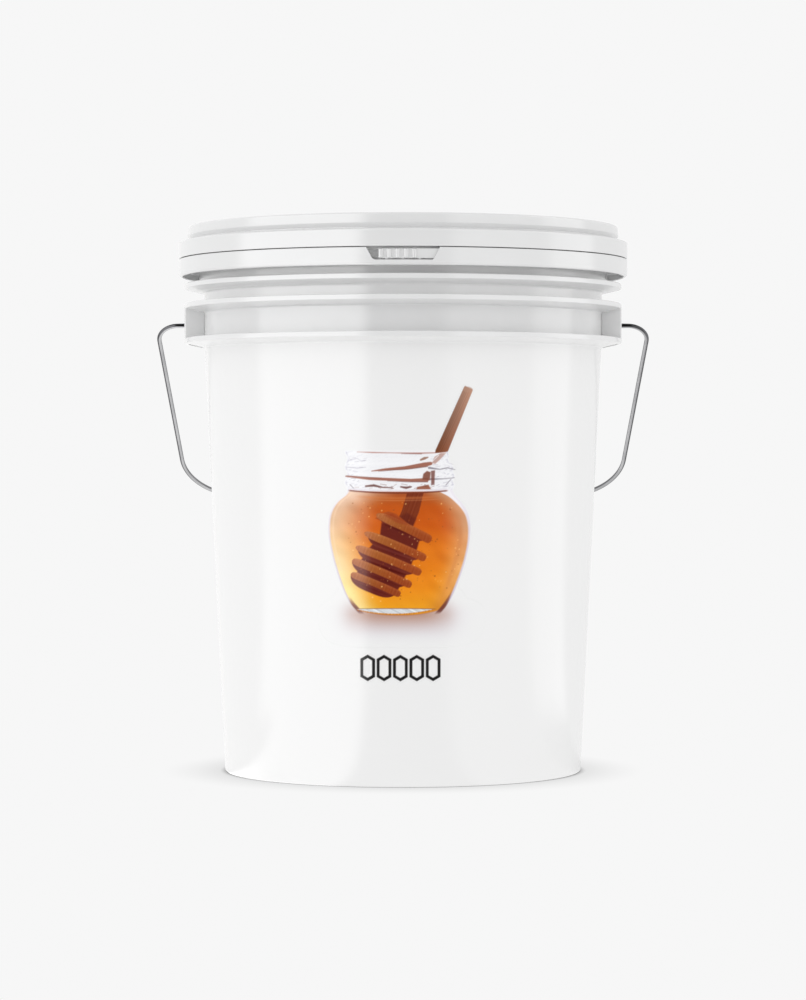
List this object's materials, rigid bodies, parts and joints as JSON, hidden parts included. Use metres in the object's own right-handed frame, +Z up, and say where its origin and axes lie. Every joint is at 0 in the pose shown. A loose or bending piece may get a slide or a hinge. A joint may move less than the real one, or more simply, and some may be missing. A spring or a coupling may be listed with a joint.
{
  "type": "lidded food pail with wire bail",
  "caption": "Tapered white plastic food pail with ringed neck, snap lid, tamper tear band with pull tab, printed honey jar picture and a wire bail with a turning grip.",
  "frame": {"origin": "centre of the foot, on the surface the pail stands on", "axes": "+Z up along the pail's axis, -Y to the front with the tear tab and the print, +X along the bail's swing axis to the right ear"},
  "size_m": [0.3424, 0.3114, 0.375],
  "materials": {
    "pail_plastic": "satin moulded white polyethylene",
    "lid_plastic": "satin moulded white polyethylene",
    "gasket_rubber": "soft matte grey",
    "bail_steel": "drawn zinc-plated wire",
    "grip_plastic": "moulded white polyethylene",
    "print_ink": "printed film, amber and brown"
  },
  "bodies": {
    "pail": {"pail_body": "pail_plastic", "tear_band": "lid_plastic", "front_print": "print_ink"},
    "lid": {"lid": "lid_plastic", "lid_gasket": "gasket_rubber"},
    "tab": {"tear_tab": "lid_plastic"},
    "bail": {"bail_wire": "bail_steel"},
    "grip": {"bail_grip": "grip_plastic"}
  },
  "joints": [
    {"name": "lid_lift", "type": "slide", "parent": "pail", "child": "lid", "axis": [0, 0, 1], "range_m": [0, 0.1]},
    {"name": "tab_pull", "type": "hinge", "parent": "pail", "child": "tab", "pos_m": [0.02123, -0.15191, 0.348], "axis": [0.4674, 0.0653, 0.8816], "range_deg": [0, 60]},
    {"name": "bail_swing", "type": "hinge", "parent": "pail", "child": "bail", "pos_m": [0, 0, 0.3073], "axis": [1, 0, 0], "range_deg": [0, 263]},
    {"name": "grip_spin", "type": "hinge", "parent": "bail", "child": "grip", "pos_m": [0, 0.14455, 0.17714], "axis": [1, 0, 0], "continuous": true}
  ]
}
